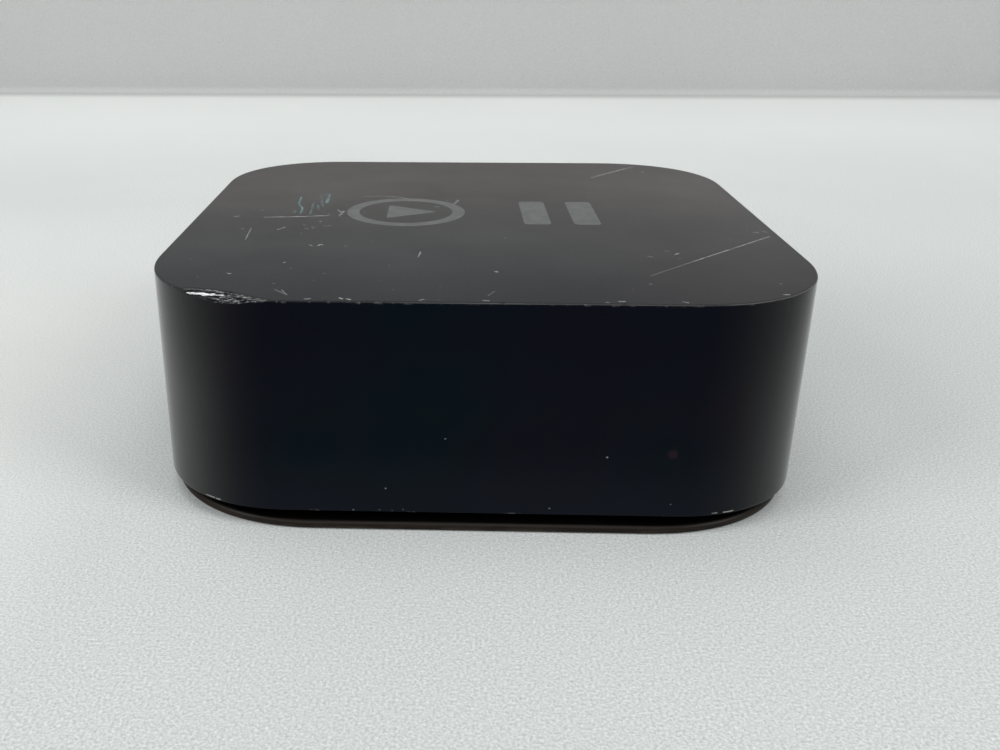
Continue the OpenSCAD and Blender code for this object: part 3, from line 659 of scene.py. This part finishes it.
def eight_outline(w, h):
    """The mains inlet's long round-ended opening, half-sizes w and h."""
    outline = []
    for side, start in ((1, 0), (-1, math.pi)):
        for i in range(33):
            a = math.pi * (i / 32 - 0.5) + start
            outline.append((side * (w - h) + h * math.cos(a), h * math.sin(a)))
    return outline


def video_outline(w, h):
    """The video socket's opening, with its two lower corners cut off."""
    cut = 2.3 * MM
    return [(w, -h + cut), (w - cut, -h), (-w + cut, -h), (-w, -h + cut), (-w, h), (w, h)]


def network_outline(w, h):
    """The network socket's plain opening."""
    return [(-w, -h), (w, -h), (w, h), (-w, h)]


PORTS = {"inlet_housing": eight_outline, "hdmi_shell": video_outline, "ethernet_shell": network_outline}


def port_cutters():
    """Closed solids for the three openings in the back wall, each a little larger than what sits in it."""
    gap = 0.1 * MM
    cutters = []
    for node, opening in PORTS.items():
        lo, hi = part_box(node)
        outline = opening((hi.x - lo.x) / 2 + gap, (hi.z - lo.z) / 2 + gap)
        cx, cz = (lo.x + hi.x) / 2, (lo.z + hi.z) / 2
        # the prism is made upright, then laid down along y
        verts, faces = prism([(cx + u, cz + v) for u, v in outline], HALF - 4 * MM, HALF + 1 * MM)
        cutter = mesh_object(f"cut_{node}", [(x, y, z) for x, z, y in verts], faces, smooth=False)
        recalculate_outside(cutter)
        cutters.append(cutter)
    return cutters


def colour_case(case, gouged):
    """Chooses each face's material: the side, the top, the gouge or the inside."""
    side, top, gouge, inside = range(4)
    for face in case.data.polygons:
        z, up = face.center.z, face.normal.z
        face.material_index = side
        if up > 0.75 and z > TOP - 1.9 * MM:
            face.material_index = top
        if all(v in gouged for v in face.vertices):
            face.material_index = gouge
        inward = face.center.x * face.normal.x + face.center.y * face.normal.y < 0
        ceiling = up < -0.9 and z > EDGE + 1 * MM
        if z <= TOP - ROOF + 0.01 * MM and (ceiling or inward and abs(up) < 0.5):
            face.material_index = inside


def make_case():
    """The upper case, with its worn edge and its three openings."""
    case = loft("case_shell", case_stations())
    recalculate_outside(case)
    gouged = cut_edge(case)
    for material in (case_side_material(), case_top_material(), gouge_material(), inside_material()):
        case.data.materials.append(material)
    colour_case(case, gouged)
    cutters = port_cutters()
    for cutter in cutters:
        cut = case.modifiers.new("opening", "BOOLEAN")
        cut.operation = "DIFFERENCE"
        cut.solver = "EXACT"
        cut.object = cutter
    apply_modifiers(case)
    for cutter in cutters:
        bpy.data.objects.remove(cutter)
    sharpen(case, 32)
    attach(case, BODY)
    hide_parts("upper_case")


# ---------------------------------------------------------------- a generic mark on the top

MARK_LIFT = 0.004 * MM                  # how far the mark stands above the top, and how deep it is let in
MARK_DEEP = 0.02 * MM
MARK_Y = 2 * MM
RING_X = -12.5 * MM
BAR_AT = (8 * MM, 16.5 * MM)            # the left sides of the two pause bars
BAR_SIZE = (4.6 * MM, 17.2 * MM)


def mark_material():
    """Slightly glossier, paler plastic, a little worn."""
    m = Nodes("top_mark")
    grain = m.noise(5000, 2)
    wear = m.noise(320, 4, 0.65)
    colour = m.mix(m.span(wear, 0.35, 0.7), (0.062, 0.064, 0.064), (0.046, 0.048, 0.048))
    m.set(base_color=colour, roughness=m.span(wear, 0.3, 0.7, 0.30, 0.38), specular=0.5)
    m.set(normal=m.bump(grain, 0.003 * MM))
    return m.material


def band(centre, outer, inner, z_low, z_high, steps=96):
    """Vertices and faces of a flat round band."""
    rows = [(outer, z_low), (outer, z_high), (inner, z_high), (inner, z_low)]
    turns = [2 * math.pi * i / steps for i in range(steps)]
    verts = [(centre[0] + r * math.cos(a), centre[1] + r * math.sin(a), z) for r, z in rows for a in turns]
    faces = []
    for row in range(4):
        a, b = row * steps, (row + 1) % 4 * steps
        faces += [(a + i, a + (i + 1) % steps, b + (i + 1) % steps, b + i) for i in range(steps)]
    return verts, faces


def rounded(points, radius, steps=6):
    """A polygon with its corners rounded, each by a short run of points on a quadratic curve."""
    outline = []
    count = len(points)
    for i, here in enumerate(points):
        here = Vector(here)
        before, after = Vector(points[i - 1]), Vector(points[(i + 1) % count])
        start = here + (before - here).normalized() * radius
        end = here + (after - here).normalized() * radius
        for k in range(steps + 1):
            t = k / steps
            outline.append((1 - t) ** 2 * start + 2 * t * (1 - t) * here + t * t * end)
    return outline


def play_outline():
    """A play triangle, a little right of the ring's middle."""
    left, right, half_height = RING_X - 3.2 * MM, RING_X + 5.6 * MM, 4.9 * MM
    points = [(left, MARK_Y - half_height), (right, MARK_Y), (left, MARK_Y + half_height)]
    return rounded(points, 0.9 * MM)


def bar_outline(left):
    """A pause bar with this left side."""
    right = left + BAR_SIZE[0]
    low, high = MARK_Y - BAR_SIZE[1] / 2, MARK_Y + BAR_SIZE[1] / 2
    return rounded([(left, low), (right, low), (right, high), (left, high)], 1.1 * MM)


def make_mark():
    """A play triangle in a ring, then two pause bars: plain transport signs, inlaid in the top."""
    low, high = TOP - MARK_DEEP, TOP + MARK_LIFT
    parts = [band((RING_X, MARK_Y), 10.5 * MM, 8.3 * MM, low, high), prism(play_outline(), low, high)]
    parts += [prism(bar_outline(left), low, high) for left in BAR_AT]
    verts, faces = [], []
    for part_verts, part_faces in parts:
        base = len(verts)
        verts += part_verts
        faces += [tuple(base + i for i in face) for face in part_faces]
    mark = mesh_object("transport_mark", verts, faces, smooth=False)
    recalculate_outside(mark)
    mark.data.materials.append(mark_material())
    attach(mark, BODY)


# ---------------------------------------------------------------- the foot


def foot_material():
    """Brown-black plastic: paler low on its edge, partly rubbed and partly painted light from the floor,
    and darkest where the case shelters it, as painted shade.
    """
    m = Nodes("foot_satin")
    z = m.axes()[2]
    streak = m.noise(150, 4, 0.65, stretch=(1, 1, 6))
    colour = m.mix(m.span(streak, 0.3, 0.7), (0.006, 0.0038, 0.0023), (0.013, 0.0085, 0.0055))
    # partly rubbed wear, partly painted light: the edge turns paler low down, most where it faces the
    # floor
    rub_and_floor_light = m.times(m.span(z, foot_lo.z + 0.6 * MM, foot_lo.z + 0.1 * MM), m.span(streak, 0.4, 0.7))
    rub_and_floor_light = m.times(rub_and_floor_light, m.span(m.facing()[2], -0.95, -0.6, 0.2, 1.0))
    colour = m.mix(m.times(rub_and_floor_light, 0.5), colour, (0.085, 0.068, 0.056))
    # painted shade: the top of the plate turns near black under the case's overhang
    painted_case_shade = m.span(z, foot_lo.z + FOOT_T - 0.30 * MM, foot_lo.z + FOOT_T - 0.04 * MM)
    colour = m.mix(painted_case_shade, colour, (0.0012, 0.0008, 0.0006))
    m.set(base_color=colour, roughness=m.span(streak, 0.3, 0.7, 0.34, 0.5), specular=0.14)
    m.set(normal=m.bump(m.noise(3200, 3, 0.6), 0.008 * MM))
    return m.material


def make_foot():
    """The foot plate, with rounded edges and a groove below for the rubber ring."""
    low, high = foot_lo.z, foot_lo.z + FOOT_T
    half = (foot_hi.x - foot_lo.x) / 2
    gap = 0.1 * MM
    groove_out = (ring_hi.x - ring_lo.x) / 2 + gap
    groove_w = RING_WIDTH + 2 * gap
    groove_in, corner_in = groove_out - groove_w, RING_CORNER - groove_w
    middle = 8 * MM
    rows = [(groove_in - middle, corner_in - middle, low), (groove_in, corner_in, low),
            (groove_in, corner_in, ring_hi.z), (groove_out, RING_CORNER, ring_hi.z),
            (groove_out, RING_CORNER, low)]
    round_low, round_high = 0.2 * MM, 0.75 * MM
    edge = list(arc(round_low, low + round_low, round_low, -90, 0, 5))
    edge += list(arc(round_high, high - round_high, round_high, 0, 90, 8))
    edge.append((12 * MM, high))
    rows += [(half - inset, FOOT_CORNER - inset, z) for inset, z in edge]
    foot = loft("foot_shell", rows)
    recalculate_outside(foot)
    sharpen(foot)
    foot.data.materials.append(foot_material())
    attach(foot, BODY)
    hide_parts("foot_plate")


def rubber_material():
    """Matt rubber with some dirt on it."""
    m = Nodes("foot_rubber")
    grain = m.noise(2400, 4, 0.7)
    dirt = m.noise(90, 4, 0.6)
    colour = m.mix(m.span(dirt, 0.42, 0.75), (0.020, 0.020, 0.020), (0.055, 0.053, 0.050))
    m.set(base_color=colour, roughness=m.span(dirt, 0.3, 0.7, 0.62, 0.82), specular=0.3)
    m.set(normal=m.bump(grain, 0.02 * MM))
    return m.material


def make_foot_ring():
    """The rubber ring, rounded along both lower edges."""
    half = (ring_hi.x - ring_lo.x) / 2
    edge = 0.2 * MM
    low, high = ring_lo.z, ring_hi.z
    rows = [(0.0, high)]
    rows += list(arc(edge, low + edge, edge, 0, -90, 4))
    rows += [(RING_WIDTH - inset, z) for inset, z in arc(edge, low + edge, edge, -90, 0, 4)]
    rows.append((RING_WIDTH, high))
    stations = [(half - inset, RING_CORNER - inset, z) for inset, z in rows]
    ring = loft("foot_ring_shell", stations, capped=False)
    recalculate_outside(ring)
    sharpen(ring, 50)
    ring.data.materials.append(rubber_material())
    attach(ring, BODY)
    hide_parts("foot_ring")


# ---------------------------------------------------------------- finishes for the CAD's own parts


def moulded(name, colour, rough=0.5, grain=2500, depth=0.01, specular=0.4):
    """Moulded plastic: fine grain of this depth in mm, slight flow marks and uneven gloss."""
    m = Nodes(name)
    fine = m.noise(grain, 3, 0.65)
    flow = m.noise(120, 3, 0.55, stretch=(1, 1, 2.5))
    m.set(base_color=m.mix(m.span(flow, 0.3, 0.7), shade(colour, 0.8), shade(colour, 1.2)))
    m.set(roughness=m.span(flow, 0.3, 0.7, rough - 0.07, rough + 0.07), specular=specular)
    m.set(normal=m.bump(fine, depth * MM))
    return m.material


def brushed(name, colour, rough):
    """Rolled or brushed metal, with fine lines and a little tarnish."""
    m = Nodes(name)
    tarnish = 0.2
    lines = m.noise(1500, 3, 0.6, stretch=(1, 14, 14))
    stain = m.noise(140, 4, 0.6)
    colour_out = m.mix(m.span(lines, 0.3, 0.7), shade(colour, 0.85), shade(colour, 1.08))
    colour_out = m.mix(m.span(stain, 0.5, 0.8, 0.0, tarnish), colour_out, shade(colour, 0.45))
    m.set(base_color=colour_out, metallic=1.0)
    m.set(roughness=m.span(lines, 0.3, 0.7, rough - 0.08, rough + 0.1), normal=m.bump(lines, 0.003 * MM))
    return m.material


def cast(name, colour, rough=0.5):
    """Cast or sintered metal: pitted and a little cloudy."""
    m = Nodes(name)
    pits = m.noise(1700, 4, 0.7)
    cloud = m.noise(90, 3)
    colour_out = m.mix(m.span(cloud, 0.3, 0.7), shade(colour, 0.85), shade(colour, 1.05))
    m.set(base_color=colour_out, metallic=1.0)
    m.set(roughness=m.span(pits, 0.3, 0.7, rough - 0.1, rough + 0.12), normal=m.bump(pits, 0.03 * MM))
    return m.material


def circuit(name, mask_colour, track_colour):
    """Solder mask over square-cornered copper tracks, with vias."""
    m = Nodes(name)
    flat = m.scaled((1, 1, 0.001))

    def cells(per_metre, **settings):
        node = m.new("ShaderNodeTexVoronoi", feature="F1", **settings)
        m.join(flat, node.inputs["Vector"])
        node.inputs["Scale"].default_value = per_metre
        return node.outputs["Distance"]

    tracks = m.span(cells(420, distance="CHEBYCHEV"), 0.44, 0.50)
    ring = m.span(cells(260), 0.12, 0.09)
    colour = m.mix(m.times(tracks, 0.8), mask_colour, track_colour)
    colour = m.mix(ring, colour, (0.55, 0.42, 0.2))
    m.set(base_color=colour, roughness=m.span(m.noise(2200, 2), 0.3, 0.7, 0.28, 0.42))
    m.set(metallic=m.times(ring, 0.9), normal=m.bump(tracks, 0.03 * MM))
    return m.material


def wound(name, colour, radians=2600, metallic=0.9):
    """Rows of fine wire or tape, their pattern turning by this many radians to the metre."""
    m = Nodes(name)
    wave = m.new("ShaderNodeTexWave", wave_type="BANDS", bands_direction="Z", wave_profile="SIN")
    m.join(m.where, wave.inputs["Vector"])
    # the texture itself multiplies the place by 20
    wave.inputs["Scale"].default_value = radians / 20
    wave.inputs["Distortion"].default_value = 0.6
    turns = wave.outputs["Fac"]
    uneven = m.noise(500, 3)
    # painted shade: each row darkens to 0.45 of its colour in the groove between turns
    colour_out = m.mix(turns, shade(colour, 0.45), shade(colour, 1.05))
    m.set(base_color=m.mix(m.span(uneven, 0.4, 0.8, 0.0, 0.4), colour_out, shade(colour, 0.6)))
    m.set(metallic=metallic, roughness=0.34, normal=m.bump(turns, 0.08 * MM))
    return m.material


def ceramic(name, colour):
    """Glazed or dipped ceramic with fine specks."""
    m = Nodes(name)
    speck = m.noise(1800, 3, 0.7)
    m.set(base_color=m.mix(m.span(speck, 0.35, 0.7), shade(colour, 0.85), shade(colour, 1.1)))
    m.set(roughness=m.span(speck, 0.3, 0.7, 0.25, 0.45), normal=m.bump(speck, 0.01 * MM))
    return m.material


def clear_rod(name):
    """Clear moulded plastic with faint streaks."""
    m = Nodes(name)
    streak = m.noise(300, 2)
    m.set(base_color=m.mix(streak, (0.86, 0.9, 0.92), (0.95, 0.97, 0.98)), transmission=0.92, ior=1.49)
    m.set(roughness=m.span(streak, 0.3, 0.7, 0.04, 0.12))
    return m.material


METALS = {                              # each metal slot's roughness
    "bright_sheet": 0.28, "laminations": 0.45, "polished_steel": 0.14, "plated_screw": 0.3,
    "tinned_can": 0.32, "plated_shell": 0.26, "gold_contacts": 0.22, "nickel_pins": 0.17,
    "brass_posts": 0.3, "antenna_gold": 0.3, "chip_metal": 0.36,
}


def slot_colours():
    """Each slot's colour in the record."""
    return {m["slot"]: tuple(m["base_color"][:3]) for m in frame["record"]["materials"]}


def finish_for(slot, colour):
    """The material for one of the record's slots."""
    if slot in METALS:
        return brushed(slot, colour, METALS[slot])
    if slot == "cast_aluminium":
        return cast(slot, colour)
    if slot == "bronze":
        return cast(slot, colour, 0.42)
    if slot == "green_board":
        return circuit(slot, colour, shade(colour, 1.9))
    if slot == "amber_board":
        return circuit(slot, colour, shade(colour, 0.6))
    if slot in ("copper_wire", "choke"):
        return wound(slot, colour)
    if slot == "winding_tape":
        return wound(slot, colour, 900, metallic=0.0)
    if slot in ("fuse", "capacitor_tan"):
        return ceramic(slot, colour)
    if slot == "clear_pipe":
        return clear_rod(slot)
    if slot in ("foot_rubber", "grommet_rubber", "pad"):
        return moulded(slot, colour, 0.72, 1800, 0.02, 0.3)
    if slot in ("capacitor_sleeve", "lens_dark", "led_body", "amber_film", "gloss_case"):
        return moulded(slot, colour, 0.18, 900, 0.002, 0.5)
    if slot in ("socket_plastic", "inlet_plastic"):
        return moulded(slot, colour, 0.38, 2600, 0.006, 0.45)
    if slot == "base_plastic":
        return moulded(slot, colour, 0.55, 1500, 0.02, 0.35)
    return moulded(slot, colour)


def finish_cad_nodes():
    """Gives each of the CAD's own parts the finish of its slot."""
    colours = slot_colours()
    made = {}
    for part in frame["record"]["subparts"]:
        node, slot = part["node"], part["material_slot"]
        if slot not in made:
            made[slot] = finish_for(slot, colours[slot])
        obj = frame["nodes"][node]
        if not obj.material_slots:
            obj.data.materials.append(made[slot])
        for place in obj.material_slots:
            place.material = made[slot]


# ---------------------------------------------------------------- stage, light and camera

WALL_Y = 0.452                          # how far behind the middle the wall stands
BEND = 0.004                            # the radius between floor and wall
# Each light's name, place, size, power in watts and colour.
LIGHTS = [
    ("overhead", (-0.05, -0.05, 1.1), (1.3, 0.6), 6.2, (1.0, 0.995, 0.985)),
    ("front_fill", (-0.1, -1.0, 0.8), (1.0, 0.7), 5.0, (0.97, 0.985, 1.0)),
    ("left_fill", (-0.9, -0.5, 0.6), (0.5, 0.6), 6.6, (0.98, 0.99, 1.0)),
    ("right_fill", (0.9, -0.5, 0.6), (0.5, 0.6), 6.2, (0.98, 0.99, 1.0)),
]
EYE = Vector((-5.45, -176.64, 77.40)) * MM
YAW, PITCH, ROLL = -0.0373, 0.3923, -0.0012     # radians: left of +Y, down from level, and a slight lean
SENSOR, LENS = 36, 36.594               # in mm
SHIFT = 0.0917                          # how far the picture slides sideways, as a share of its width


def stage_material():
    """Pale card with fine fibres, a few hairs and faint clouds; painted light makes the far floor and a
    patch at the left paler, and painted shade makes it darker in front and up the wall.
    """
    m = Nodes("pale_sweep")
    x, y, _ = m.axes()
    fibre = m.noise(2600, 2, 0.8)
    hairs = m.span(m.noise(420, 3, 0.8, stretch=(1, 2.5, 1)), 0.66, 0.74, 0.0, 0.35)
    cloud = m.noise(7, 3)
    colour = m.mix(m.span(cloud, 0.3, 0.7), (0.785, 0.815, 0.795), (0.85, 0.875, 0.855))
    colour = m.mix(m.span(fibre, 0.3, 0.7, 0.0, 0.9), colour, (0.44, 0.46, 0.46))
    colour = m.mix(hairs, colour, (0.20, 0.20, 0.20))
    # painted light: the far floor turns paler and warmer
    colour = m.mix(m.span(y, 0.12, 0.40, 0.0, 0.2), colour, (0.93, 0.90, 0.87))
    # painted light: a paler patch on the floor to the left of the box, near the front
    left = m.times(m.span(x, -0.055, -0.085, 0.0, 0.4), m.span(y, 0.16, 0.04))
    colour = m.mix(left, colour, (0.93, 0.93, 0.90))
    # painted shade: the floor darkens towards the front
    near_painted_shade = m.span(y, 0.02, 0.33, 0.24, 0.0)
    # painted shade: the wall and the last of the floor before it are darker
    wall_painted_shade = m.span(y, WALL_Y - 0.027, WALL_Y - 0.0005, 0.0, 0.38, smooth=True)
    colour = m.mix(m.most(near_painted_shade, wall_painted_shade), colour, (0.0, 0.0, 0.0))
    m.set(base_color=colour, roughness=0.85, specular=0.2, normal=m.bump(fibre, 0.05 * MM))
    return m.material


def make_stage():
    """A pale floor that curves up into a wall well behind the box."""
    start, side, height, steps = -1.6, 2.2, 1.6, 12
    profile = [(start, 0.0), (WALL_Y - BEND, 0.0)]
    for i in range(1, steps + 1):
        a = math.pi / 2 * i / steps
        profile.append((WALL_Y - BEND + BEND * math.sin(a), BEND - BEND * math.cos(a)))
    profile.append((WALL_Y, height))
    verts = [(x, y, z) for x in (-side, side) for y, z in profile]
    count = len(profile)
    faces = [(i, count + i, count + i + 1, i + 1) for i in range(count - 1)]
    sweep = mesh_object("sweep", verts, faces)
    sweep.data.materials.append(stage_material())


def soft_light(name, place, size, watts, colour):
    """A rectangular light aimed at the middle of the floor under the box."""
    data = bpy.data.lights.new(name, "AREA")
    data.shape = "RECTANGLE"
    data.size, data.size_y = size
    data.energy = watts
    data.color = colour
    light = link(bpy.data.objects.new(name, data))
    light.location = place
    light.rotation_euler = (-Vector(place)).to_track_quat("-Z", "Y").to_euler()


def make_lights():
    """The soft lights, and an even glow all round."""
    for light in LIGHTS:
        soft_light(*light)
    world = bpy.data.worlds.new("soft_room")
    world.use_nodes = True
    sky = world.node_tree.nodes["Background"]
    sky.inputs["Color"].default_value = (0.90, 0.93, 0.95, 1)
    sky.inputs["Strength"].default_value = 0.26
    bpy.context.scene.world = world


def make_camera():
    """Front view from slightly above, a little left of centre."""
    data = bpy.data.cameras.new("camera")
    camera = link(bpy.data.objects.new("camera", data))
    data.sensor_width = SENSOR
    data.lens = LENS
    data.shift_x = SHIFT
    data.clip_start, data.clip_end = 0.01, 20
    forward = Vector((math.sin(YAW) * math.cos(PITCH), math.cos(YAW) * math.cos(PITCH), -math.sin(PITCH)))
    level = Vector((math.cos(YAW), -math.sin(YAW), 0))
    upright = level.cross(forward)
    right = math.cos(ROLL) * level + math.sin(ROLL) * upright
    up = -math.sin(ROLL) * level + math.cos(ROLL) * upright
    turn = Matrix((right, up, -forward)).transposed().to_4x4()
    camera.matrix_world = Matrix.Translation(EYE) @ turn
    bpy.context.scene.camera = camera


# ---------------------------------------------------------------- everything together

random.seed(7)
make_camera()
finish_cad_nodes()
make_case()
make_mark()
make_foot()
make_foot_ring()
make_stage()
make_lights()
bpy.context.scene.view_settings.view_transform = "Standard"
